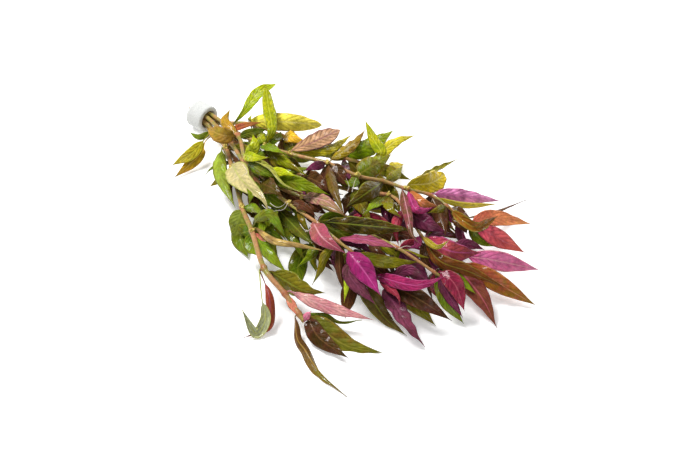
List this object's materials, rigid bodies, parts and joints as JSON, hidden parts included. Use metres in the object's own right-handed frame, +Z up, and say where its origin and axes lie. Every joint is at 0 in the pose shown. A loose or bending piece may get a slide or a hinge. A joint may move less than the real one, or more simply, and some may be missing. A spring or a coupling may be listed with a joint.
{
  "type": "alternanthera reineckii bunch",
  "caption": "Bunch of cut red and green aquarium plant stems with lance-shaped leaves, held in a foam cuff and lying on its side.",
  "frame": {"origin": "middle of the bunch's bounding box, on the surface that it lies on", "axes": "+X along the bunch from the cuff to the growing tips, +Z up"},
  "size_m": [0.2838, 0.2032, 0.0443],
  "materials": {
    "beige": "wet beige leaf",
    "brown": "wet brown leaf",
    "crimson": "wet crimson leaf",
    "foam": "soft white foam",
    "green": "wet green leaf",
    "lime": "wet lime leaf",
    "magenta": "wet magenta leaf",
    "mauve": "wet mauve leaf",
    "ochre": "wet ochre leaf",
    "olive": "wet olive leaf",
    "orange": "wet orange leaf",
    "pink": "wet pink leaf",
    "stem": "smooth wet stem",
    "yellow": "wet yellow leaf"
  },
  "bodies": {
    "root": {"cuff": "foam", "right_stem": "stem", "upper_stem": "stem", "long_stem": "stem", "middle_stem": "stem", "front_stem": "stem", "low_stem": "stem", "back_stem": "stem", "yellow_back_leaf": "yellow", "green_back_leaf": "green", "lime_upright_leaf": "lime", "green_gloss_leaf": "green", "ochre_left_leaf": "ochre", "lime_left_leaf": "lime", "left_drop_leaf": "green", "lime_arched_leaf": "lime", "lime_tall_leaf": "lime", "lime_under_leaf": "lime", "mauve_upper_leaf": "mauve", "olive_pointed_leaf": "olive", "olive_broad_leaf": "olive", "olive_hook_leaf": "olive", "green_shine_leaf": "green", "pale_rolled_leaf": "lime", "pale_pink_leaf": "pink", "beige_leaf": "beige", "brown_olive_leaf": "brown", "arched_green_leaf": "green", "branch_olive_leaf": "brown", "green_drape_leaf": "green", "slim_olive_leaf": "brown", "dark_long_leaf": "green", "pink_heart_leaf": "pink", "mauve_dark_leaf": "mauve", "magenta_slim_leaf": "magenta", "magenta_leaf": "magenta", "hanging_mauve_leaf": "mauve", "hanging_cup_leaf": "lime", "bitten_leaf": "green", "pink_front_leaf": "pink", "olive_front_leaf": "olive", "brown_front_leaf": "brown", "twisted_leaf": "ochre", "green_edged_leaf": "green", "brown_spread_leaf": "brown", "purple_leaf": "mauve", "magenta_low_leaf": "magenta", "crimson_low_leaf": "crimson", "red_brown_leaf": "crimson", "olive_long_leaf": "olive", "maroon_leaf": "orange", "pink_long_leaf": "pink", "magenta_broad_leaf": "magenta", "rolled_olive_leaf": "olive", "olive_yellow_leaf": "yellow", "hanging_pink_leaf": "pink", "pink_upper_leaf": "magenta", "orange_leaf": "orange", "crimson_leaf": "crimson", "olive_cup_leaf": "olive"}
  },
  "joints": []
}
